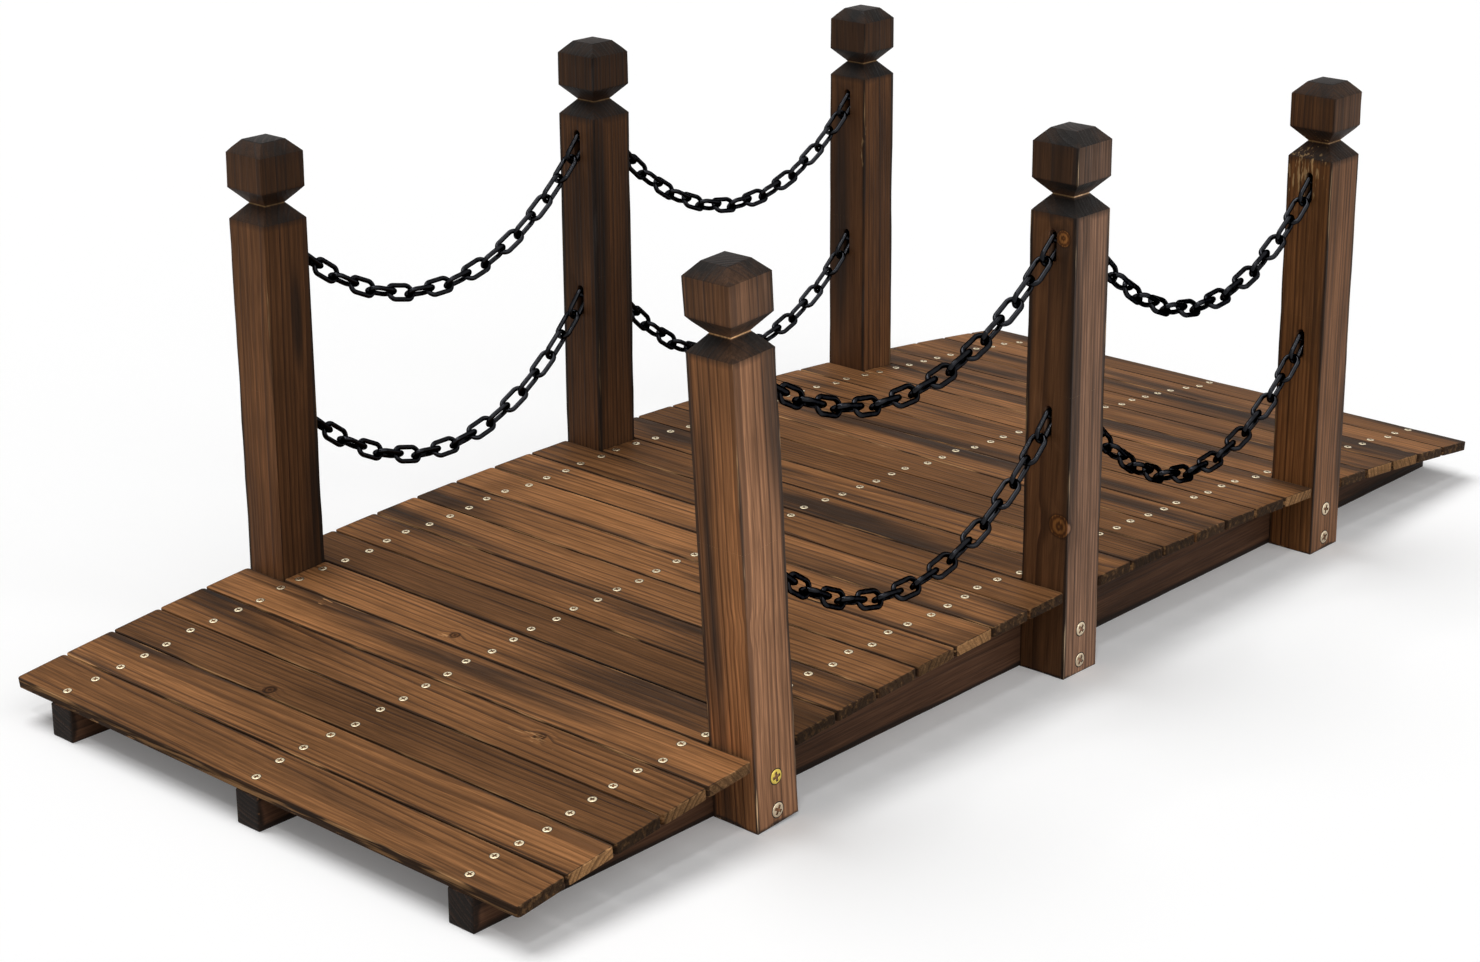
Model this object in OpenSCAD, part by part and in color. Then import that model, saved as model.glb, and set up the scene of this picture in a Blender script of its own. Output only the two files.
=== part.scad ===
// Low arched garden footbridge: a plank deck on three cut runners, with six posts and chain railings.
// +X runs along the walk, +Y to the left of a person walking that way, +Z up.
// The origin is on the ground, under the middle of the deck.

/* [Deck] */
// Number of boards, an odd number so that one lies at the crown
board_count = 27; // [25:2:31]
// Width of a board, along the walk
board_width = 53.5; // [48:0.5:65]
// Open joint between neighbouring boards
board_gap = 1.5; // [1:0.5:5]
// Thickness of a board
board_thickness = 10; // [8:0.5:18]
// Radius of the corners of a board, seen from above
board_corner = 4; // [2:0.5:8]
// Length of the full boards, which is the width of the deck
deck_width = 672; // [600:1:900]
// Radius of the arch that the runners are cut to
arch_radius = 5750; // [5000:10:9000]

/* [Runners] */
// Height of a runner at the crown
runner_height = 80; // [75:1:110]
// Thickness of a runner
runner_thickness = 30; // [24:1:40]

/* [Posts] */
// Side of the square posts
post_size = 52; // [46:1:60]
// Height of the posts at the middle of the bridge
middle_post_height = 532; // [500:1:700]
// Height of the posts nearer the ends
end_post_height = 504; // [480:1:680]
// Boards from one post to the next
post_spacing_boards = 8; // [7:1:9]
// Gap between a post and the boards cut round it
post_clearance = 1; // [0.5:0.1:2]
// Lean of the front right post, in degrees away from the middle of the bridge
front_right_lean = 3.7; // [0:0.1:4.5]

/* [Post heads] */
// Height of the head above the neck, with both chamfers
head_height = 62; // [50:1:80]
// Side of the neck between shaft and head
neck_size = 24; // [18:1:30]
// Height of each slope that leads into the neck
neck_slope = 15.3; // [10:0.1:20]
// Side of the flat on top of the head
top_flat = 29; // [20:1:40]
// Height of the slope below that flat
top_slope = 12; // [8:0.5:16]

/* [Chains] */
// Diameter of the wire that the links are bent from
wire_diameter = 5; // [4:0.1:6]
// Outer width of a link
link_width = 20; // [18:0.5:23]
// Distance from one link to the next
link_pitch = 26; // [24:0.1:30]
// Length of chain beyond the straight line between its pins, as a share of that line
slack_share = 0.18; // [0.12:0.01:0.3]
// Depth of the upper pins below the shoulders of the posts
upper_pin_depth = 26; // [22:1:40]
// Height of the lower pins of the middle posts above the crown of the deck
middle_lower_pin = 169; // [150:1:200]
// Height of the lower pins of the end posts above the crown of the deck
end_lower_pin = 143; // [138:1:180]

/* [Chain slots] */
// Clearance on each flat side of a link in its slot
slot_side_clearance = 1.8; // [1.2:0.1:3]
// Clearance at the top, foot and back of a slot
slot_clearance = 1.5; // [1:0.1:3]
// Depth of a lower pin's centre behind the face of the post
lower_pin_inset = 3.5; // [3:0.1:6]
// Depth of an upper pin's centre behind the face of the post
upper_pin_inset = 6; // [3:0.1:7.5]

/* [Hidden] */
// Clearance between two linked wires
link_clearance = 0.4;
// Overrun of cuts past the faces that they open
overrun = 1;
// Facets of the board corners, the wire, the rounded slots and the great arch
corner_facets = 32;
wire_facets = 24;
slot_facets = 32;
arch_facets = 1440;

// The arch: boards lie side by side along it, as flats that touch it at their middle
board_pitch = board_width + board_gap;
board_angle = board_pitch / arch_radius * 180 / PI;
arch_center_z = runner_height - arch_radius;
deck_crown = runner_height + board_thickness;
runner_length = 2 * arch_radius * sin(board_count * board_angle / 2);
crown_board = (board_count - 1) / 2;

// Posts stand against the outer runners, with their outer faces flush with the board ends
post_x = arch_radius * sin(post_spacing_boards * board_angle);
post_y = (deck_width - post_size) / 2;
runner_y = (deck_width - runner_thickness) / 2 - post_size;
short_board_length = deck_width - 2 * (post_size + post_clearance);
post_room = post_size + 2 * post_clearance;
shoulder_drop = head_height + neck_slope;

// A leaning post turns about the middle of the deck's thickness, and stands on one edge of its foot
lean_pivot_z = arch_center_z + (arch_radius + board_thickness / 2) * cos(post_spacing_boards * board_angle);
function lean_lift(lean) = post_size / 2 * sin(lean) - lean_pivot_z * (1 - cos(lean));
function lean_of(side, place) = side == "right" && place == "front" ? front_right_lean : 0;

// Chains: a wire's end bend, the straight of a link, and the slot that takes an end link on its pin
wire_radius = wire_diameter / 2;
bend_radius = (link_width - wire_diameter) / 2;
link_inner_length = link_pitch + link_clearance;
link_straight = link_inner_length + wire_diameter - 2 * bend_radius;
pin_to_link = link_inner_length / 2 - wire_radius - link_clearance;
slot_width = wire_diameter + 2 * slot_side_clearance;
function pin_inset(rung) = rung == 0 ? lower_pin_inset : upper_pin_inset;

// Pins of a bay as [x, z], in the bay from the front post to the middle post
function post_pin(height, lower_pin, rung) =
    [
        post_size / 2 - pin_inset(rung),
        rung == 0 ? deck_crown + lower_pin : height - shoulder_drop - upper_pin_depth
    ];
function end_pin(rung, lean) =
    let (pin = post_pin(end_post_height, end_lower_pin, rung), above = pin.y - lean_pivot_z)
    [
        -post_x + pin.x * cos(lean) - above * sin(lean),
        lean_pivot_z + lean_lift(lean) + pin.x * sin(lean) + above * cos(lean)
    ];
function middle_pin(rung) =
    let (pin = post_pin(middle_post_height, middle_lower_pin, rung))
    [-pin.x, pin.y];

// Every chain has the same even number of links, enough for an upright bay and its slack
bay_chord = norm(middle_pin(1) - end_pin(1, 0));
link_count = 2 * round(bay_chord * (1 + slack_share) / link_pitch / 2);
chain_length = (link_count - 1) * link_pitch + 2 * pin_to_link;
// A link is turned a little less than a quarter from the one before, so that both end links stand upright
link_turn = 90 * (link_count - 2) / (link_count - 1);

// Hanging curve of that length between two pins: its size, low point from the first pin, and arc there
function sinh(v) = (exp(v) - exp(-v)) / 2;
function asinh(v) = ln(v + sqrt(v * v + 1));
function atanh(v) = ln((1 + v) / (1 - v)) / 2;
function halve_bend(ratio, low, high, steps) =
    let (mid = (low + high) / 2)
    steps == 0 ? mid
    : sinh(mid) / mid > ratio ? halve_bend(ratio, low, mid, steps - 1)
    : halve_bend(ratio, mid, high, steps - 1);
least_bend = 0.01;
most_bend = 8;
bend_steps = 50;
function hang(from, to) =
    let (
        span = to.x - from.x,
        rise = to.y - from.y,
        ratio = sqrt(chain_length * chain_length - rise * rise) / span,
        size = span / 2 / halve_bend(ratio, least_bend, most_bend, bend_steps),
        low = span / 2 - size * atanh(rise / chain_length)
    )
    [size, low, -size * sinh(low / size)];
function bay_curve(side, bay, rung) = hang(end_pin(rung, lean_of(side, bay)), middle_pin(rung));
function tilt_at(curve, arc) = atan((curve[2] + arc) / curve[0]);
function end_slot_tilt(curve, lean) = lean - tilt_at(curve, pin_to_link);
function middle_slot_tilt(curve) = tilt_at(curve, chain_length - pin_to_link);

// Names of the pieces, by side of the walk, by place along it and by height
SIDES = ["right", "left"];
PLACES = ["front", "middle", "back"];
BAYS = ["front", "back"];
RUNGS = ["lower", "upper"];
board_names = [for (i = [1 : board_count]) str("deck_board_", i < 10 ? "0" : "", i)];

// Moves a post's shape, drawn upright on the origin, to its place and lean
module at_post(side, place) {
    lean = lean_of(side, place);
    mirror([place == "back" ? 1 : 0, 0, 0])
        translate([
            place == "middle" ? 0 : -post_x,
            side == "left" ? post_y : -post_y,
            lean_pivot_z + lean_lift(lean)
        ])
            rotate([0, -lean, 0])
                translate([0, 0, -lean_pivot_z])
                    children();
}

// The room that each post takes up in the deck
module post_rooms() {
    for (side = SIDES, place = PLACES)
        at_post(side, place)
            translate([-post_room / 2, -post_room / 2, 0])
                cube([post_room, post_room, end_post_height]);
}

// A board lying flat, centred on its length and width, with its corners rounded
module board_blank(length) {
    cut_side = board_corner + overrun;
    cut_depth = board_thickness + 2 * overrun;
    difference() {
        translate([-board_width / 2, -length / 2, 0])
            cube([board_width, length, board_thickness]);
        for (end = [0, 1], edge = [0, 1])
            mirror([0, end, 0])
                mirror([edge, 0, 0])
                    translate([board_width / 2 - board_corner, length / 2 - board_corner, -overrun])
                        difference() {
                            cube([cut_side, cut_side, cut_depth]);
                            cylinder(r = board_corner, h = cut_depth, $fn = corner_facets);
                        }
    }
}

// One deck board: full length, or stopping between the posts where a pair of them stands
module deck_board(index) {
    from_crown = index - crown_board;
    between_posts = from_crown == 0 || abs(from_crown) == post_spacing_boards;
    length = between_posts ? short_board_length : deck_width;
    color("sienna")
        difference() {
            translate([0, 0, arch_center_z])
                rotate([0, from_crown * board_angle, 0])
                    translate([0, 0, arch_radius])
                        board_blank(length);
            if (!between_posts) post_rooms();
        }
}

// One runner: a plank on edge, flat below and cut to the arch above
module runner(y) {
    color("saddlebrown")
        translate([0, y + runner_thickness / 2, 0])
            rotate([90, 0, 0])
                intersection() {
                    translate([-runner_length / 2, 0, 0])
                        cube([runner_length, runner_height, runner_thickness]);
                    translate([0, arch_center_z, -overrun])
                        cylinder(r = arch_radius, h = runner_thickness + 2 * overrun, $fn = arch_facets);
                }
}

// Side view of a post, from the ground up one side of its head and down the other
module post_outline(height) {
    half_side = [
        [post_size / 2, 0],
        [post_size / 2, height - shoulder_drop],
        [neck_size / 2, height - head_height],
        [post_size / 2, height - head_height + neck_slope],
        [post_size / 2, height - top_slope],
        [top_flat / 2, height]
    ];
    last = len(half_side) - 1;
    polygon(concat(half_side, [for (i = [last : -1 : 0]) [-half_side[i].x, half_side[i].y]]));
}

// Upright slot with rounded ends in the face at +X, tall enough for an end link hanging at that tilt
module chain_slot(rung, tilt) {
    radius = slot_width / 2;
    inset = pin_inset(rung);
    slot_depth = inset + link_width / 2 + slot_clearance;
    top = link_width / 2 + slot_clearance - radius;
    foot = inset * tan(tilt) + link_width / 2 / cos(tilt) + slot_clearance - radius;
    translate([post_size / 2 - slot_depth, 0, 0]) {
        translate([0, -radius, -foot])
            cube([slot_depth + overrun, slot_width, top + foot]);
        for (z = [-foot, top])
            translate([0, 0, z])
                rotate([0, 90, 0])
                    cylinder(r = radius, h = slot_depth + overrun, $fn = slot_facets);
    }
}

// Two side views crossed, so that the head and neck are mitred
module post_shape(height) {
    intersection() {
        translate([0, post_size / 2, 0])
            rotate([90, 0, 0])
                linear_extrude(height = post_size)
                    post_outline(height);
        translate([-post_size / 2, 0, 0])
            rotate([90, 0, 90])
                linear_extrude(height = post_size)
                    post_outline(height);
    }
}

// A post near an end of the bridge, with its slots on the side of the middle post
module end_post(side, place) {
    color("peru")
        at_post(side, place)
            difference() {
                post_shape(end_post_height);
                for (rung = [0, 1])
                    translate([0, 0, post_pin(end_post_height, end_lower_pin, rung).y])
                        chain_slot(rung, end_slot_tilt(bay_curve(side, place, rung), lean_of(side, place)));
            }
}

// A post at the middle of the bridge, with slots on both sides
module middle_post(side) {
    color("peru")
        at_post(side, "middle")
            difference() {
                post_shape(middle_post_height);
                for (bay = BAYS, rung = [0, 1])
                    translate([0, 0, middle_pin(rung).y])
                        rotate([0, 0, bay == "front" ? 180 : 0])
                            chain_slot(rung, middle_slot_tilt(bay_curve(side, bay, rung)));
            }
}

// One link in the XZ plane, long along X: two straights closed by half rings
module chain_link() {
    for (z = [-bend_radius, bend_radius])
        translate([-link_straight / 2, 0, z])
            rotate([0, 90, 0])
                cylinder(r = wire_radius, h = link_straight, $fn = wire_facets);
    for (turn = [0, 180])
        rotate([0, turn, 0])
            translate([link_straight / 2, 0, 0])
                rotate([90, 0, 0])
                    rotate([0, 0, -90])
                        rotate_extrude(angle = 180, $fn = 2 * wire_facets)
                            translate([bend_radius, 0])
                                circle(r = wire_radius, $fn = wire_facets);
}

// One chain between its two pins, mirrored in the bay beyond the middle post, but twisted the same way
module chain(side, bay, rung) {
    from = end_pin(rung, lean_of(side, bay));
    curve = bay_curve(side, bay, rung);
    drop = norm([curve[0], curve[2]]);
    turn = bay == "back" ? -link_turn : link_turn;
    color("dimgray")
        mirror([bay == "back" ? 1 : 0, 0, 0])
            translate([0, side == "left" ? post_y : -post_y, 0]) {
                for (i = [0 : link_count - 1]) {
                    arc = pin_to_link + i * link_pitch;
                    along = curve[2] + arc;
                    translate([
                        from.x + curve[1] + curve[0] * asinh(along / curve[0]),
                        0,
                        from.y + norm([curve[0], along]) - drop
                    ])
                        rotate([0, -tilt_at(curve, arc), 0])
                            rotate([i * turn, 0, 0])
                                chain_link();
                }
                for (pin = [from, middle_pin(rung)])
                    translate([pin.x, slot_width / 2, pin.y])
                        rotate([90, 0, 0])
                            cylinder(r = wire_radius, h = slot_width, $fn = wire_facets);
            }
}

for (i = [0 : board_count - 1])
    deck_board(i);

runner(-runner_y);  // runner_right
runner(0);  // runner_middle
runner(runner_y);  // runner_left

for (side = SIDES) {
    end_post(side, "front");
    middle_post(side);
    end_post(side, "back");
    for (bay = BAYS, rung = [0, 1])
        chain(side, bay, rung);
}
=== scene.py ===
import math
import random

import bmesh
import bpy
from mathutils import Matrix, Vector, noise


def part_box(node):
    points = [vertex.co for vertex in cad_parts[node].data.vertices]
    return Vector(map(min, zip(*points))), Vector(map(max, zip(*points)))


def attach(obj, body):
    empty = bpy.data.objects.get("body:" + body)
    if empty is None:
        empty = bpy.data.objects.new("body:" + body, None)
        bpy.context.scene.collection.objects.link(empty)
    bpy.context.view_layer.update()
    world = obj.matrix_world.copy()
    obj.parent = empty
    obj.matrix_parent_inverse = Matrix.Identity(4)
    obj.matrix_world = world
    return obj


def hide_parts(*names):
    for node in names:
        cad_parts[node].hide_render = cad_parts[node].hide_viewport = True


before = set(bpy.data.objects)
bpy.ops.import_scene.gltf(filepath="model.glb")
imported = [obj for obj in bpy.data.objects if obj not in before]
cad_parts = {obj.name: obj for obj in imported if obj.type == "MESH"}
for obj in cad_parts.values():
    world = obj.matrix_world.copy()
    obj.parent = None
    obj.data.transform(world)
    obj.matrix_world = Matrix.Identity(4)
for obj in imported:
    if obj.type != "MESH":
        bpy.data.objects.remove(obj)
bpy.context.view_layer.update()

# RUNNERS
# Three fir planks on edge carry the deck. Each is flat below, sawn to the arch above and charred
# dark. The outer two stand just inside the posts, which are screwed to them.
MM = 0.001
runner_names = ("runner_right", "runner_middle", "runner_left")
runner_cut = {"ease": 1.2 * MM, "wear": 0.5 * MM, "slice": 22 * MM, "margin": 4 * MM}


def linear(hex_colour):
    """Turns an sRGB hex colour into the linear colour that shaders take."""
    parts = (int(hex_colour[i : i + 2], 16) / 255 for i in (1, 3, 5))
    return (*(c / 12.92 if c <= 0.04045 else ((c + 0.055) / 1.055) ** 2.4 for c in parts), 1)


def add_node(tree, kind, links={}, **settings):
    """Adds a shader node. A link is a node, a socket or a plain value, keyed by the name or number of
    the socket that it goes to."""
    node = tree.nodes.new(kind)
    for name, value in settings.items():
        setattr(node, name, value)
    for key, value in links.items():
        if isinstance(key, int):
            socket = node.inputs[key]
        else:
            socket = next(s for s in node.inputs if s.enabled and s.name == key)
        if isinstance(value, bpy.types.Node):
            value = next(s for s in value.outputs if s.enabled)
        if isinstance(value, bpy.types.NodeSocket):
            tree.links.new(value, socket)
        else:
            socket.default_value = value
    return node


def stored(tree, name, output):
    """Reads a value that the mesh stores at each point."""
    return add_node(tree, "ShaderNodeAttribute", attribute_name=name).outputs[output]


def reckon(tree, operation, *values):
    """Reckons one number from others."""
    return add_node(tree, "ShaderNodeMath", dict(enumerate(values)), operation=operation)


def length_of(tree, vector):
    """Measures how long a vector is."""
    return add_node(tree, "ShaderNodeVectorMath", {0: vector}, operation="LENGTH").outputs["Value"]


def remap(tree, value, low, high, to_low=0, to_high=1, smooth=False):
    """Takes a value from one range to another and holds it at both ends, with soft ends where smooth."""
    return add_node(
        tree,
        "ShaderNodeMapRange",
        {"Value": value, "From Min": low, "From Max": high, "To Min": to_low, "To Max": to_high},
        interpolation_type="SMOOTHSTEP" if smooth else "LINEAR",
    )


def mix_colours(tree, share, first, second):
    """Mixes two colours by the share of the second. Each is a node or a hex colour."""
    first, second = (linear(c) if isinstance(c, str) else c for c in (first, second))
    return add_node(tree, "ShaderNodeMix", {"Factor": share, "A": first, "B": second}, data_type="RGBA")


def grain_noise(tree, place, length, width, detail):
    """Noise drawn out along the grain, with spots of this length and width."""
    scale = (1 / length, 1 / width, 1 / width)
    drawn_out = add_node(tree, "ShaderNodeVectorMath", {0: place, 1: scale}, operation="MULTIPLY")
    return add_node(tree, "ShaderNodeTexNoise", {"Vector": drawn_out, "Scale": 1, "Detail": detail})


def charred_fir(
    name,
    early,
    late,
    char,
    bare,
    knot_rim,
    knot_heart,
    char_level,
    wear_level,
    scorched_rim,
    knot_push,
    sheen,
):
    """Fir, planed, scorched with a flame and oiled. Its year rings show as fine dark lines along the
    faces and as arcs on the ends, under smoky patches, and the wood is bare and pale where edges rub."""
    material = bpy.data.materials.new(name)
    material.use_nodes = True
    tree = material.node_tree
    shader = tree.nodes["Principled BSDF"]
    shader.inputs["IOR"].default_value = 1.5
    shader.inputs["Specular IOR Level"].default_value = sheen
    grain = stored(tree, "grain", "Vector")
    skin = stored(tree, "skin", "Vector")
    tone = stored(tree, "tone", "Fac")
    end_tone = stored(tree, "end_tone", "Fac")
    burnt = stored(tree, "burnt", "Fac")
    painted_sheen_saturation = stored(tree, "painted_sheen_saturation", "Fac")
    from_neck = stored(tree, "from_neck", "Fac")
    to_scuff = length_of(tree, stored(tree, "scuff", "Vector"))
    to_smudge = length_of(tree, stored(tree, "smudge", "Vector"))
    to_first = length_of(tree, stored(tree, "knot_a", "Vector"))
    to_second = length_of(tree, stored(tree, "knot_b", "Vector"))
    # Most of a noise lies between these
    usual_noise = (0.3, 0.7)

    # Knots push the rings aside. What lies round a knot is measured in its radius
    ragged_knot = 18 * MM
    raggedness = (0.8, 1.2)
    pushed_between = (3, 0.5)
    nearest = reckon(tree, "MINIMUM", to_first, to_second)
    knot_noise = add_node(
        tree, "ShaderNodeTexNoise", {"Vector": grain, "Scale": 1 / ragged_knot, "Detail": 1}
    )
    knot_edge = remap(tree, knot_noise, 0, 1, *raggedness)
    to_knot = reckon(tree, "MULTIPLY", nearest, knot_edge)
    push = remap(tree, to_knot, *pushed_between, 0, knot_push, smooth=True)

    # Year rings round a core that sways along the trunk. Real ones are 1 to 3 mm wide, and are drawn
    # coarser so that they show in the render. Each darkens slowly through its year and ends at once
    sway_length = 330 * MM
    sway_width = 90 * MM
    sway = 8 * MM
    ring_width = 4.6 * MM
    uneven_width = 14 * MM
    uneven_rings = 2
    faintest_ring = 0.15
    darkens_between = (0.25, 0.85)
    ends_between = (1, 0.9)
    sway_noise = grain_noise(tree, grain, sway_length, sway_width, 2)
    swayed = add_node(
        tree,
        "ShaderNodeVectorMath",
        {0: sway_noise.outputs["Color"], 1: (0, sway, sway), 2: grain},
        operation="MULTIPLY_ADD",
    )
    flat = add_node(tree, "ShaderNodeVectorMath", {0: swayed, 1: (0, 1, 1)}, operation="MULTIPLY")
    radius = reckon(tree, "ADD", length_of(tree, flat), push)
    uneven_place = reckon(tree, "MULTIPLY", radius, 1 / uneven_width)
    uneven = add_node(
        tree, "ShaderNodeTexNoise", {"W": uneven_place, "Scale": 1, "Detail": 1}, noise_dimensions="1D"
    )
    shifted = reckon(tree, "MULTIPLY", uneven, uneven_rings)
    years = reckon(tree, "MULTIPLY_ADD", radius, 1 / ring_width, shifted)
    year = reckon(tree, "FRACT", years)
    ring_number = reckon(tree, "FLOOR", years)
    ring_chance = add_node(tree, "ShaderNodeTexWhiteNoise", {"W": ring_number}, noise_dimensions="1D")
    ring_depth = remap(tree, ring_chance, 0, 1, faintest_ring, 1)
    rise = remap(tree, year, *darkens_between, smooth=True)
    fall = remap(tree, year, *ends_between, smooth=True)
    dark_band = reckon(tree, "MULTIPLY", rise, fall)
    latewood = reckon(tree, "MULTIPLY", dark_band, ring_depth)

    # Fibres: short dark and light streaks that follow the grain and break up the rings. They are drawn
    # coarser than real ones too
    fibre_length = 45 * MM
    fibre_width = 1.3 * MM
    broken_between = (0.3, 0.65)
    faintest_line = 0.45
    fibre = grain_noise(tree, swayed, fibre_length, fibre_width, 3)
    line_depth = remap(tree, fibre, *broken_between, faintest_line, 1)
    line = reckon(tree, "MULTIPLY", latewood, line_depth)
    wood = mix_colours(tree, line, early, late)

    # The second nearest side tells how far a spot is from an edge
    inward = add_node(tree, "ShaderNodeSeparateXYZ", {0: skin}).outputs
    least = reckon(tree, "MINIMUM", inward["X"], inward["Y"])
    most = reckon(tree, "MAXIMUM", inward["X"], inward["Y"])
    capped = reckon(tree, "MINIMUM", most, inward["Z"])
    from_edge = reckon(tree, "MAXIMUM", least, capped)

    # Smoke: patches drawn out along the piece, darkest beside its edges, and one smudge on some pieces.
    # Wood is clear where the smoke is below the first level and charred deepest above the second
    smoke_length = 480 * MM
    smoke_width = 46 * MM
    charring = 0.3 * char_level
    smoke_levels = (0.64 - charring, 0.86 - charring)
    rim_smoke = 0.28
    deepest_char = 0.9
    patchy_between = (0.35, 0.65)
    patchiness = (0.75, 1.15)
    frayed_smudge = 0.5
    smudge_levels = (0.75, 0.1)
    deepest_smudge = 0.75
    smoke = grain_noise(tree, grain, smoke_length, smoke_width, 3)
    rim = remap(tree, from_edge, scorched_rim, 0, 0, rim_smoke, smooth=True)
    smoke_and_rim = reckon(tree, "ADD", smoke, rim)
    scorch = remap(tree, smoke_and_rim, *smoke_levels, 0, deepest_char, smooth=True)
    patchy = remap(tree, smoke, *patchy_between, *patchiness)
    burn = reckon(tree, "MULTIPLY", burnt, patchy)
    scorched = reckon(tree, "MAXIMUM", scorch, burn)
    smudge_level = reckon(tree, "MULTIPLY_ADD", fibre, -frayed_smudge, to_smudge)
    smudged = remap(tree, smudge_level, *smudge_levels, 0, deepest_smudge, smooth=True)
    blackened = reckon(tree, "MAXIMUM", scorched, smudged)
    smoked = mix_colours(tree, blackened, wood, char)

    # Knots: dark and pale rings of their own, with a dark bark line round them
    bark_between = (1.2, 0.85)
    heart_between = (0.98, 0.86)
    frayed_knot = 0.5
    knot_rings = 11
    band_between = (-0.8, 0.8)
    in_knot = remap(tree, to_knot, *bark_between, smooth=True)
    in_heart = remap(tree, to_knot, *heart_between, smooth=True)
    ragged = reckon(tree, "MULTIPLY_ADD", fibre, frayed_knot, to_knot)
    knot_turn = reckon(tree, "MULTIPLY", ragged, knot_rings)
    knot_wave = reckon(tree, "SINE", knot_turn)
    knot_band = remap(tree, knot_wave, *band_between)
    knot_wood = mix_colours(tree, knot_band, knot_heart, knot_rim)
    knot = mix_colours(tree, in_heart, late, knot_wood)
    knotted = mix_colours(tree, in_knot, smoked, knot)

    # Sawn ends: bare on some pieces, charred on others, with the rings as dark arcs
    end_skin = (0.9 * MM, 0.4 * MM)
    at_end = remap(tree, inward["X"], *end_skin)
    end_base = mix_colours(tree, end_tone, char, bare)
    end = mix_colours(tree, line, end_base, late)
    ended = mix_colours(tree, at_end, knotted, end)

    # Rubbed edges: the outer skin is knocked off in chips
    worn_rim = (2.2 * MM, 0.44 * MM)
    chip_length = 90 * MM
    chip_width = 5 * MM
    chipping = 0.14 * wear_level
    chip_levels = (0.62 - chipping, 0.78 - chipping)
    chips_on_ends = 0.25
    on_edge = remap(tree, from_edge, *worn_rim)
    chip = grain_noise(tree, grain, chip_length, chip_width, 3)
    chipped = remap(tree, chip, *chip_levels, smooth=True)
    off_end = remap(tree, at_end, 0, 1, 1, chips_on_ends)
    chipped_side = reckon(tree, "MULTIPLY", chipped, off_end)
    rub = reckon(tree, "MULTIPLY", on_edge, chipped_side)

    # Scuffs: one rubbed patch on some pieces, broken up along the fibres
    scuff_length = 18 * MM
    scuff_width = 3 * MM
    scuff_fade = 0.22
    scuff_levels = (0.44, 0.54)
    barest_scuff = 0.9
    scuff_noise = grain_noise(tree, grain, scuff_length, scuff_width, 3)
    scuff_level = reckon(tree, "MULTIPLY_ADD", to_scuff, -scuff_fade, scuff_noise)
    scuffed = remap(tree, scuff_level, *scuff_levels, 0, barest_scuff, smooth=True)

    # The saw cuts of a neck meet in a thin line that no stain reached
    neck_line = (0.9 * MM, 0.45 * MM)
    barest_neck = 0.8
    neck_reach = reckon(tree, "ABSOLUTE", from_neck)
    in_neck = remap(tree, neck_reach, *neck_line, 0, barest_neck)
    unstained = reckon(tree, "MAXIMUM", scuffed, in_neck)
    bared = reckon(tree, "MAXIMUM", rub, unstained)
    rubbed = mix_colours(tree, bared, ended, bare)

    # Streaks: bands of lighter and darker oil, on broad lighter and darker patches, with the fibres
    streak_length = 170 * MM
    streak_width = 6 * MM
    streak_tones = (0.78, 1.22)
    toast_length = 300 * MM
    toast_width = 90 * MM
    toast_tones = (0.72, 1.28)
    fibre_tones = (0.66, 1.34)
    streak = grain_noise(tree, swayed, streak_length, streak_width, 3)
    streaked = remap(tree, streak, *usual_noise, *streak_tones)
    toast = grain_noise(tree, grain, toast_length, toast_width, 2)
    toasted = remap(tree, toast, *usual_noise, *toast_tones)
    fine = remap(tree, fibre, *usual_noise, *fibre_tones)
    mottle = reckon(tree, "MULTIPLY", streaked, toasted)
    fine_tone = reckon(tree, "MULTIPLY", fine, tone)
    value = reckon(tree, "MULTIPLY", mottle, fine_tone)
    # The stored tone holds the wood's own tone and, on posts, the painted light and shade of each side. The
    # stored saturation greys those sides as a painted sheen
    toned = add_node(
        tree, "ShaderNodeHueSaturation", {"Color": rubbed, "Saturation": painted_sheen_saturation, "Value": value}
    )
    tree.links.new(toned.outputs[0], shader.inputs["Base Color"])

    # The flame eats the soft early wood, so the dark lines stand proud and shine a little more
    roughness = (0.66, 0.5)
    fibre_relief = 0.6
    relief = 0.45 * MM
    gloss = remap(tree, line, 0, 1, *roughness)
    tree.links.new(gloss.outputs[0], shader.inputs["Roughness"])
    ridge = reckon(tree, "MULTIPLY_ADD", fibre, fibre_relief, line)
    bump = add_node(tree, "ShaderNodeBump", {"Height": ridge, "Distance": relief, "Strength": 0.7})
    tree.links.new(bump.outputs[0], shader.inputs["Normal"])
    return material


def rough_timber(node_name):
    """A CAD solid with its flat faces whole again, its own axes, and its middle and half sizes along
    them. The axes run along its longest edge, across it, and through its widest face."""
    shape = bmesh.new()
    shape.from_mesh(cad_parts[node_name].data)
    bmesh.ops.remove_doubles(shape, verts=shape.verts, dist=1e-6)
    bmesh.ops.recalc_face_normals(shape, faces=shape.faces)
    bmesh.ops.dissolve_limit(shape, angle_limit=math.radians(0.5), verts=shape.verts, edges=shape.edges)
    longest = max(shape.edges, key=lambda e: e.calc_length())
    widest = max(shape.faces, key=lambda f: f.calc_area())
    along = (longest.verts[1].co - longest.verts[0].co).normalized()
    through = widest.normal.copy()
    along *= math.copysign(1, max(along, key=abs))
    through *= math.copysign(1, max(through, key=abs))
    axes = Matrix((along, through.cross(along), through))
    places = [axes @ v.co for v in shape.verts]
    low = Vector(min(p[k] for p in places) for k in range(3))
    high = Vector(max(p[k] for p in places) for k in range(3))
    return shape, axes, (low + high) / 2, (high - low) / 2


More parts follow.
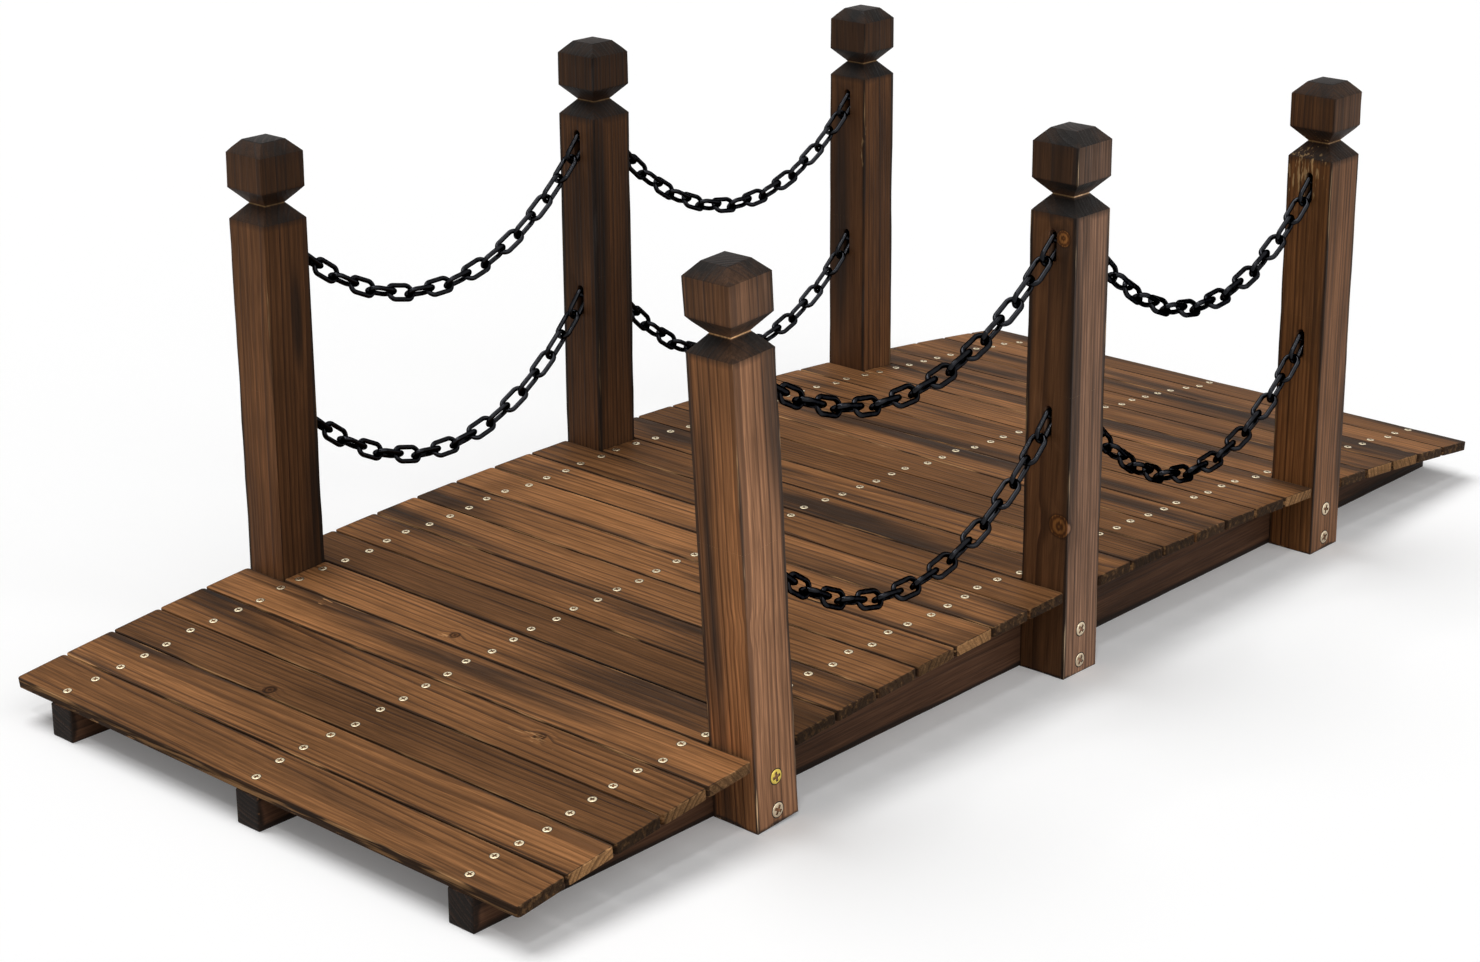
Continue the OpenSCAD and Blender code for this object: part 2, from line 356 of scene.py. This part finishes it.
def dress_timber(
    node_name,
    material,
    cut,
    seed,
    tone=1,
    end_tone=0,
    burn=0,
    knots=(),
    scuff=(),
    smudge=(),
    sides=(),
    neck=0,
):
    """Copies a CAD solid as worked timber. Eases its edges, slices its faces fine enough to wear them
    unevenly, and stores where each point lies in the tree, for the material."""
    ease = cut["ease"]
    sharp_fold = math.radians(30)
    smooth_fold = math.radians(40)
    # How far the core of the trunk lies beside and under the piece, and how it slants
    core_aside = (20 * MM, 110 * MM)
    core_below = (12 * MM, 60 * MM)
    slant_aside = 0.012
    slant_below = 0.02
    # Each piece comes from its own place, this many metres along the trunk from the last
    trunk_step = 3
    wear_length = 50 * MM
    wear_width = 20 * MM
    wear_step = 7
    worn_reach = 1.5 * ease
    # A head starts a little under its neck, and is burnt most where the saw cut slopes
    head_reach = 1.3 * neck
    slope_gain = 2.5
    head_burn = 0.6
    slope_burn = 0.3
    slope_dark = 0.45
    far_away = (9, 9, 9)

    chance = random.Random(seed)
    shape, axes, middle, half = rough_timber(node_name)
    folds = [e for e in shape.edges if e.is_manifold and e.is_convex and e.calc_face_angle() > sharp_fold]
    bmesh.ops.bevel(
        shape, geom=folds, offset=ease, segments=2, profile=0.5, affect="EDGES", clamp_overlap=True
    )

    def slice_across(axis, places_along):
        for place in places_along:
            bmesh.ops.bisect_plane(
                shape,
                geom=shape.verts[:] + shape.edges[:] + shape.faces[:],
                plane_co=axes.transposed() @ (middle + Vector(place if k == axis else 0 for k in range(3))),
                plane_no=axes[axis],
                dist=1e-7,
            )

    inset = [h - cut["margin"] for h in half]
    count = round(2 * inset[0] / cut["slice"])
    slice_across(0, [-inset[0] + 2 * inset[0] * k / count for k in range(count + 1)])
    for axis in (1, 2):
        if inset[axis] > cut["margin"]:
            slice_across(axis, [-inset[axis], 0, inset[axis]])

    core = (chance.choice((-1, 1)) * chance.uniform(*core_aside), -chance.uniform(*core_below))
    slant = (chance.uniform(-slant_aside, slant_aside), chance.uniform(-slant_below, slant_below))
    layers = shape.verts.layers
    grain = layers.float_vector.new("grain")
    skin = layers.float_vector.new("skin")
    knot_layers = [layers.float_vector.new(name) for name in ("knot_a", "knot_b")]
    tone_and_painted_light_layer = layers.float.new("tone")
    end_layer = layers.float.new("end_tone")
    burnt_layer = layers.float.new("burnt")
    painted_sheen_layer = layers.float.new("painted_sheen_saturation")
    neck_layer = layers.float.new("from_neck")
    marks = [(layers.float_vector.new(name), mark) for name, mark in (("scuff", scuff), ("smudge", smudge))]
    shape.normal_update()
    moved = {}
    for vert in shape.verts:
        place = axes @ vert.co - middle
        inward = Vector(max(h - abs(p), 0) for h, p in zip(half, place))
        vert[grain] = (
            place.x + trunk_step * seed,
            place.y - core[0] - slant[0] * place.x,
            place.z - core[1] - slant[1] * place.x,
        )
        vert[skin] = inward
        # Sides given in sides are painted lighter or darker, as painted light and shade for how the lamps
        # fall on them, and greyer, as a painted sheen
        facing = [
            (max(vert.normal.dot(Vector(side)), 0), painted_lighter, painted_greyer) for side, painted_lighter, painted_greyer in sides
        ]
        vert[tone_and_painted_light_layer] = tone * (1 + sum(share * painted_lighter for share, painted_lighter, painted_greyer in facing))
        vert[painted_sheen_layer] = 1 - sum(share * painted_greyer for share, painted_lighter, painted_greyer in facing)
        vert[burnt_layer] = burn
        vert[end_layer] = end_tone
        vert[neck_layer] = 1
        if neck and place.x > 0:
            vert[neck_layer] = place.x - half.x + neck
            if place.x > half.x - head_reach:
                slope = min(1, slope_gain * abs(vert.normal.dot(axes[0])))
                vert[burnt_layer] = head_burn + slope_burn * slope
                vert[tone_and_painted_light_layer] *= 1 - slope_dark * slope
        for layer, mark in marks:
            vert[layer] = far_away
            if mark:
                centre, sizes = mark
                vert[layer] = [p / size for p, size in zip(axes @ (vert.co - Vector(centre)), sizes)]
        for k, layer in enumerate(knot_layers):
            vert[layer] = far_away
            if k < len(knots):
                centre, size = knots[k]
                vert[layer] = (axes @ (vert.co - Vector(centre))) / size
        from_edge = sorted(inward)[1]
        spot = Vector((place.x / wear_length, place.y / wear_width, place.z / wear_width + wear_step * seed))
        dip = cut["wear"] * max(0, noise.noise(spot)) if from_edge < worn_reach else 0
        moved[vert] = vert.co - vert.normal * dip
    for vert, place in moved.items():
        vert.co = place

    mesh = bpy.data.meshes.new("fir_" + node_name)
    for face in shape.faces:
        face.smooth = True
    shape.to_mesh(mesh)
    shape.free()
    mesh.set_sharp_from_angle(angle=smooth_fold)
    piece = bpy.data.objects.new("fir_" + node_name, mesh)
    bpy.context.scene.collection.objects.link(piece)
    mesh.materials.append(material)
    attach(piece, "root")
    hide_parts(node_name)


runner_fir = charred_fir(
    "charred fir runners",
    early="#684936",
    late="#3a271b",
    char="#191411",
    bare="#8a6242",
    knot_rim="#4a3020",
    knot_heart="#2a1c14",
    char_level=0.6,
    wear_level=0.2,
    scorched_rim=10 * MM,
    knot_push=5 * MM,
    sheen=0.12,
)
for k, name in enumerate(runner_names):
    dress_timber(name, runner_fir, runner_cut, seed=100 + k)

# DECK BOARDS
# Narrow fir boards laid across the runners, planed, sawn off square and scorched. Their corners are
# rounded over, and the ends of a few were cut after the scorching, so they are bare.
board_names = sorted(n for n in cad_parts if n.startswith("deck_board_"))
board_cut = {"ease": 0.7 * MM, "wear": 0.4 * MM, "slice": 16 * MM, "margin": 2.6 * MM}
board_tones = (0.5, 1)
deepest_burn = 0.3
charred_end = 0.08
bare_ends = {2: 0.9, 4: 0.75, 5: 0.3, 10: 0.3, 11: 0.9, 21: 0.7, 24: 1, 25: 0.8}
# Where knots and scuffs lie on numbered boards, and how large they are
board_knots = {
    3: [((-0.623, 0.112, 0.056), 7 * MM)],
    4: [((-0.542, -0.156, 0.064), 6 * MM)],
    6: [((-0.451, 0.052, 0.072), 6 * MM)],
    15: [((0.055, 0.12, 0.09), 7 * MM)],
}
board_scuffs = {
    1: ((-0.741, 0.12, 0.034), (260 * MM, 3 * MM, 3 * MM)),
    3: ((-0.634, -0.2, 0.056), (150 * MM, 3 * MM, 3 * MM)),
    4: ((-0.545, -0.155, 0.064), (34 * MM, 8 * MM, 8 * MM)),
    5: ((-0.475, 0.213, 0.071), (12 * MM, 7 * MM, 7 * MM)),
    6: ((-0.458, 0.057, 0.072), (16 * MM, 8 * MM, 8 * MM)),
}
board_fir = charred_fir(
    "charred fir boards",
    early="#93653f",
    late="#2f1c11",
    char="#2a211b",
    bare="#b98a5c",
    knot_rim="#6a4527",
    knot_heart="#3c2616",
    char_level=0.57,
    wear_level=0.85,
    scorched_rim=2.4 * MM,
    knot_push=4 * MM,
    sheen=0.04,
)
chance = random.Random(27)
for number, name in enumerate(board_names, 1):
    dress_timber(
        name,
        board_fir,
        board_cut,
        seed=number,
        tone=chance.uniform(*board_tones),
        end_tone=bare_ends.get(number, charred_end),
        burn=max(0, chance.uniform(-deepest_burn, deepest_burn)),
        knots=board_knots.get(number, ()),
        scuff=board_scuffs.get(number, ()),
    )

# DECK SCREWS
# Countersunk steel screws with a cross recess, yellow zinc-plated, driven just short of flush. Two
# go through each board into each runner, set by eye, so no row is quite straight.
screw_head = 8 * MM
screw_proud = 0.4 * MM
screw_from_middle = 14.5 * MM
screw_stray_along = 4 * MM
screw_stray_across = 1.5 * MM


def screw_mesh(shape, place, up, turn, head, proud):
    """Adds one countersunk head with its cross recess, standing proud of a surface at a place."""
    sides = 32
    cross_reach = 0.34 * head
    cross_half = 0.1 * head
    cross_depth = 0.22 * head
    cross_taper = 0.7
    shank = 0.2 * head
    sunk = 0.3 * head
    # Radius in heads and height in shares of what stands proud, from the flat top to the dark ring of
    # painted shade round it
    profile = ((0.44, 1.0), (0.475, 0.85), (0.495, 0.5), (0.5, 0.25), (0.57, 0.12))
    zinc_steps = 3
    facing = up.to_track_quat("Z", "Y").to_matrix() @ Matrix.Rotation(turn, 3, "Z")

    def point(x, y, height):
        return shape.verts.new(place + facing @ Vector((x, y, height)))

    def ring(radius, height):
        angles = (2 * math.pi * k / sides for k in range(sides))
        return [point(radius * math.cos(a), radius * math.sin(a), height) for a in angles]

    def wall(upper, lower, finish):
        for k in range(len(upper)):
            after = (k + 1) % len(upper)
            shape.faces.new((upper[k], lower[k], lower[after], upper[after])).material_index = finish

    def cross(height, reach, half):
        corners = ((reach, -half), (reach, half), (half, half))
        spots = [Matrix.Rotation(q * math.pi / 2, 2) @ Vector(c) for q in range(4) for c in corners]
        return [point(*spot, height) for spot in spots]

    rings = [ring(r * head, h * proud) for r, h in profile]
    rings.append(ring(shank, -sunk))
    # Past the zinc steps, the ring round the head and the underside take the dark painted shade
    for k, (upper, lower) in enumerate(zip(rings, rings[1:])):
        wall(upper, lower, finish=int(k >= zinc_steps))
    shape.faces.new(list(reversed(rings[-1])))
    mouth = cross(proud, cross_reach, cross_half)
    floor = cross(proud - cross_depth, cross_taper * cross_reach, cross_taper * cross_half)
    # The cross recess takes the dark painted shade too, with some char dust and oil
    wall(floor, mouth, finish=1)
    shape.faces.new(floor).material_index = 1
    # The flat top lies between the rim and the cross, a quarter at a time
    quarter, rim = sides // 4, rings[0]
    for q in range(4):
        tip, corner, elbow = mouth[3 * q : 3 * q + 3]
        next_tip = mouth[(3 * q + 3) % len(mouth)]
        arc = [rim[(quarter * q + k) % sides] for k in range(quarter + 1)]
        shape.faces.new(arc + [next_tip, elbow, corner])
        shape.faces.new([arc[0], corner, tip])


def zinc(name, bright, dull, grit):
    """Zinc-plated steel, pressed and tumbled: a soft satin shine with faint cloudy spots."""
    material = bpy.data.materials.new(name)
    material.use_nodes = True
    tree = material.node_tree
    shader = tree.nodes["Principled BSDF"]
    satin = (0.3, 0.5)
    shader.inputs["Metallic"].default_value = 1
    spot = add_node(tree, "ShaderNodeTexCoord").outputs["Object"]
    cloud = add_node(tree, "ShaderNodeTexNoise", {"Vector": spot, "Scale": 1 / grit, "Detail": 3})
    shade = mix_colours(tree, cloud, dull, bright)
    tree.links.new(shade.outputs[2], shader.inputs["Base Color"])
    rough = remap(tree, cloud, 0, 1, *satin)
    tree.links.new(rough.outputs[0], shader.inputs["Roughness"])
    return material


# A dull, nearly black finish fills the cross and rings each head, so the heads stand out: painted shade for
# the dark recess and the countersink gap, with some char dust and oil in the recess
recess_shade = bpy.data.materials.new("painted recess shade and char dust")
recess_shade.use_nodes = True
recess_shade_tree = recess_shade.node_tree
recess_shade_shader = recess_shade_tree.nodes["Principled BSDF"]
recess_shade_grain = 1.5 * MM
recess_shade_spot = add_node(recess_shade_tree, "ShaderNodeTexCoord").outputs["Object"]
recess_shade_noise = add_node(recess_shade_tree, "ShaderNodeTexNoise", {"Vector": recess_shade_spot, "Scale": 1 / recess_shade_grain})
recess_shade_colour = mix_colours(recess_shade_tree, recess_shade_noise, "#120d0a", "#2c211a")
recess_shade_tree.links.new(recess_shade_colour.outputs[2], recess_shade_shader.inputs["Base Color"])
recess_shade_shader.inputs["Roughness"].default_value = 0.9


def drive_screws(name, places, material, head, proud, seed):
    """Makes one piece of all the screws of a kind, each turned as the driver left it."""
    smooth_fold = math.radians(35)
    chance = random.Random(seed)
    shape = bmesh.new()
    for place, up in places:
        screw_mesh(shape, place, up, chance.uniform(0, math.pi / 2), head, proud)
    bmesh.ops.recalc_face_normals(shape, faces=shape.faces)
    mesh = bpy.data.meshes.new(name)
    for face in shape.faces:
        face.smooth = True
    shape.to_mesh(mesh)
    shape.free()
    mesh.set_sharp_from_angle(angle=smooth_fold)
    mesh.materials.append(material)
    # The second finish is the painted shade of the recess and of the ring round each head
    mesh.materials.append(recess_shade)
    piece = bpy.data.objects.new(name, mesh)
    bpy.context.scene.collection.objects.link(piece)
    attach(piece, "root")


runner_lines = [sum(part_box(n), Vector()).y / 2 for n in runner_names]
deck_places = []
stray = random.Random(54)
for name in board_names:
    shape, axes, middle, half = rough_timber(name)
    shape.free()
    for line in runner_lines:
        for side in (-1, 1):
            place = Vector((line, side * screw_from_middle, middle.z + half.z))
            place.y += middle.y
            place.x += stray.uniform(-1, 1) * screw_stray_along
            place.y += stray.uniform(-1, 1) * screw_stray_across
            deck_places.append((axes.transposed() @ place, axes[2]))
yellow_zinc = zinc("yellow zinc plating", bright="#ecdfc2", dull="#c0ad86", grit=2 * MM)
drive_screws("deck_screws", deck_places, yellow_zinc, screw_head, screw_proud, seed=162)

# POSTS
# Six square fir posts, planed, with a mitred neck and a head cut at the saw. Slots in the faces towards
# the next post hold the chain ends. Scorched, more on the cut slopes than on the faces.
post_names = sorted(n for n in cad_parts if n.startswith("post_"))
post_cut = {"ease": 2.1 * MM, "wear": 1.3 * MM, "slice": 20 * MM, "margin": 4.6 * MM}
post_neck = 62 * MM
# Where knots, scuffs and smudges lie, and how large they are
post_knots = {
    "post_right_middle": [((-0.026, -0.322, 0.434), 8 * MM), ((-0.026, -0.326, 0.154), 12 * MM)],
    "post_right_front": [((-0.462, -0.325, 0.19), 8 * MM)],
}
post_scuffs = {
    "post_right_back": ((0.4136, -0.3, 0.412), (48 * MM, 36 * MM, 36 * MM)),
    "post_left_back": ((0.4136, 0.287, 0.355), (60 * MM, 6 * MM, 6 * MM)),
}
post_smudges = {
    "post_right_front": ((-0.442, -0.336, 0.4), (150 * MM, 16 * MM, 16 * MM)),
    "post_right_middle": ((-0.022, -0.336, 0.3), (230 * MM, 14 * MM, 14 * MM)),
    "post_right_back": ((0.462, -0.336, 0.12), (110 * MM, 13 * MM, 13 * MM)),
    "post_left_front": ((-0.432, 0.284, 0.33), (70 * MM, 9 * MM, 9 * MM)),
    "post_left_middle": ((-0.02, 0.284, 0.32), (220 * MM, 16 * MM, 16 * MM)),
    "post_left_back": ((0.4136, 0.32, 0.25), (200 * MM, 18 * MM, 18 * MM)),
}
# How much lighter or darker each side of a post is painted, as painted light and shade for how the lamps
# fall on that side, and how much greyer, as a painted sheen
near_side, front = (0, -1, 0), (-1, 0, 0)
post_painted_side_light = {
    "post_right_front": ((near_side, 0.95, 0.1), (front, 0.9, 0)),
    "post_right_middle": ((near_side, 0.75, 0.2), (front, -0.35, 0)),
    "post_right_back": ((near_side, 0.15, 0.1), (front, 0, -0.05)),
    "post_left_front": ((near_side, -0.6, 0), (front, -0.15, 0)),
    "post_left_middle": ((near_side, -0.62, 0), (front, -0.48, 0)),
    "post_left_back": ((near_side, -0.32, 0), (front, -0.52, 0)),
}
post_fir = charred_fir(
    "charred fir posts",
    early="#855a39",
    late="#351f12",
    char="#25201d",
    bare="#cfa878",
    knot_rim="#c07e42",
    knot_heart="#6d4222",
    char_level=0.38,
    wear_level=0.4,
    scorched_rim=6 * MM,
    knot_push=2.5 * MM,
    sheen=0.12,
)
for k, name in enumerate(post_names):
    dress_timber(
        name,
        post_fir,
        post_cut,
        seed=40 + k,
        knots=post_knots.get(name, ()),
        scuff=post_scuffs.get(name, ()),
        smudge=post_smudges[name],
        # Each post side is painted lighter or darker and greyer, as painted light, shade and sheen
        sides=post_painted_side_light[name],
        neck=post_neck,
    )

# POST SCREWS
# Two larger countersunk screws hold each post to its runner, driven from the outer face. They are
# bright zinc-plated, but for the upper one of the front right post, which is gold-coloured.
post_screw_head = 13.5 * MM
post_screw_proud = 0.7 * MM
post_screw_heights = (13 * MM, 45 * MM)
post_places = []
for name in post_names:
    shape, axes, middle, half = rough_timber(name)
    shape.free()
    outward = Vector((0, math.copysign(1, sum(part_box(name), Vector()).y), 0))
    reach = max(abs((axes @ outward)[k]) * half[k] for k in (1, 2))
    for height in post_screw_heights:
        foot = middle.copy()
        foot.x += height - half.x
        post_places.append((axes.transposed() @ foot + outward * reach, outward))
odd_screw = 2 * post_names.index("post_right_front") + 1
gold_place = post_places.pop(odd_screw)
bright_zinc = zinc("bright zinc plating", bright="#eee0c6", dull="#bda482", grit=3 * MM)
gold_zinc = zinc("gold zinc plating", bright="#f2dc74", dull="#c9a83e", grit=3 * MM)
drive_screws("post_screws", post_places, bright_zinc, post_screw_head, post_screw_proud, seed=12)
drive_screws("post_screw_gold", [gold_place], gold_zinc, post_screw_head, post_screw_proud, seed=1)

# CHAINS
# Welded steel chain of round wire, plated black and tumbled, hung on a pin in each post slot. The
# wire is a little wavy, so each link carries a bright line that wanders.
chain_names = sorted(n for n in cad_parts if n.startswith("chain_"))
plating_wave = 4 * MM
plating_relief = 0.3 * MM
plating_gloss = (0.12, 0.22)
plating = bpy.data.materials.new("black zinc plating")
plating.use_nodes = True
plating_tree = plating.node_tree
plating_shader = plating_tree.nodes["Principled BSDF"]
# The plating stays black where the wire turns away from the eye
plating_shader.inputs["Metallic"].default_value = 1
plating_shader.inputs["Specular Tint"].default_value = linear("#000000")
plating_spot = add_node(plating_tree, "ShaderNodeTexCoord").outputs["Object"]
plating_noise = add_node(
    plating_tree, "ShaderNodeTexNoise", {"Vector": plating_spot, "Scale": 1 / plating_wave, "Detail": 3}
)
plating_shade = mix_colours(plating_tree, plating_noise, "#18181a", "#2a2b2e")
plating_tree.links.new(plating_shade.outputs[2], plating_shader.inputs["Base Color"])
plating_rough = remap(plating_tree, plating_noise, 0, 1, *plating_gloss)
plating_tree.links.new(plating_rough.outputs[0], plating_shader.inputs["Roughness"])
plating_bump = add_node(
    plating_tree, "ShaderNodeBump", {"Height": plating_noise, "Distance": plating_relief, "Strength": 0.9}
)
plating_tree.links.new(plating_bump.outputs[0], plating_shader.inputs["Normal"])
for name in chain_names:
    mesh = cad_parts[name].data
    mesh.materials.clear()
    mesh.materials.append(plating)

# STUDIO
# A white paper sweep under one large soft lamp above the far side, a weaker one by the near side and a
# small bulb for glints. The floor adds its own white for the camera, and the shadow stays on it.
floor_reach = 12
floor_glow = 0.13
fill_light = 0.13


def seen_directly(tree):
    """One where the camera sees a thing, also in a mirror or through glass, and nought for other light."""
    ray = add_node(tree, "ShaderNodeLightPath").outputs
    seen = reckon(tree, "MAXIMUM", ray["Is Camera Ray"], ray["Is Glossy Ray"])
    return reckon(tree, "MAXIMUM", seen, ray["Is Transmission Ray"])


floor_mesh = bpy.data.meshes.new("floor")
corners = [(x * floor_reach, y * floor_reach, 0) for x, y in ((-1, -1), (1, -1), (1, 1), (-1, 1))]
floor_mesh.from_pydata(corners, [], [(0, 1, 2, 3)])
floor = bpy.data.objects.new("floor", floor_mesh)
bpy.context.scene.collection.objects.link(floor)
floor_paper = bpy.data.materials.new("white paper sweep")
floor_paper.use_nodes = True
paper_tree = floor_paper.node_tree
paper_tree.nodes.clear()
paper_seen = seen_directly(paper_tree)
# The light that it throws back up is weaker than what the camera sees, as from a smaller sweep
paper_shade = mix_colours(paper_tree, paper_seen, "#b0b0b0", "#f4f4f4")
paper = add_node(paper_tree, "ShaderNodeBsdfDiffuse", {"Color": paper_shade})
glow_strength = reckon(paper_tree, "MULTIPLY", paper_seen, floor_glow)
glow = add_node(paper_tree, "ShaderNodeEmission", {"Color": linear("#ffffff"), "Strength": glow_strength})
lit_paper = add_node(paper_tree, "ShaderNodeAddShader", {0: paper, 1: glow})
add_node(paper_tree, "ShaderNodeOutputMaterial", {"Surface": lit_paper})
floor_mesh.materials.append(floor_paper)

world = bpy.data.worlds.new("studio")
bpy.context.scene.world = world
world.use_nodes = True
world_tree = world.node_tree
world_tree.nodes.clear()
world_seen = seen_directly(world_tree)
fill = add_node(world_tree, "ShaderNodeBackground", {"Color": linear("#ffffff"), "Strength": fill_light})
white = add_node(world_tree, "ShaderNodeBackground", {"Color": linear("#ffffff"), "Strength": 1})
sky = add_node(world_tree, "ShaderNodeMixShader", {0: world_seen, 1: fill, 2: white})
add_node(world_tree, "ShaderNodeOutputWorld", {"Surface": sky})

# Where each lamp stands from the bridge, how many degrees wide it looks, and its strength
lamps = {
    "overhead softbox": ((-0.1, 0.35, 1), 36, 1.85),
    "near side softbox": ((-0.2, -1, 0.75), 60, 1.0),
    "bare bulb": ((-0.5, -0.3, 1), 6, 0.34),
}
for name, (source, width, strength) in lamps.items():
    light = bpy.data.lights.new(name, "SUN")
    light.angle = math.radians(width)
    light.energy = strength
    lamp = bpy.data.objects.new(name, light)
    lamp.rotation_euler = Vector(source).to_track_quat("Z", "Y").to_euler()
    bpy.context.scene.collection.objects.link(lamp)

# CAMERA
# Placed by fitting the corners of the six posts and of the deck to where the photograph shows them.
# A small vertical shift frames the bridge as the photograph does.
camera_place = Vector((-2.1274, -1.8433, 1.1290))
camera_view = Vector((0.70368, 0.64385, -0.30049))
camera_roll = math.radians(-0.37)
camera_data = bpy.data.cameras.new("camera")
camera_data.lens = 71.06
camera_data.sensor_width = 36
camera_data.shift_y = -0.08
camera = bpy.data.objects.new("camera", camera_data)
camera.matrix_world = (
    Matrix.Translation(camera_place)
    @ camera_view.to_track_quat("-Z", "Y").to_matrix().to_4x4()
    @ Matrix.Rotation(camera_roll, 4, "Z")
)
bpy.context.scene.collection.objects.link(camera)
bpy.context.scene.camera = camera
bpy.context.scene.view_settings.view_transform = "Standard"
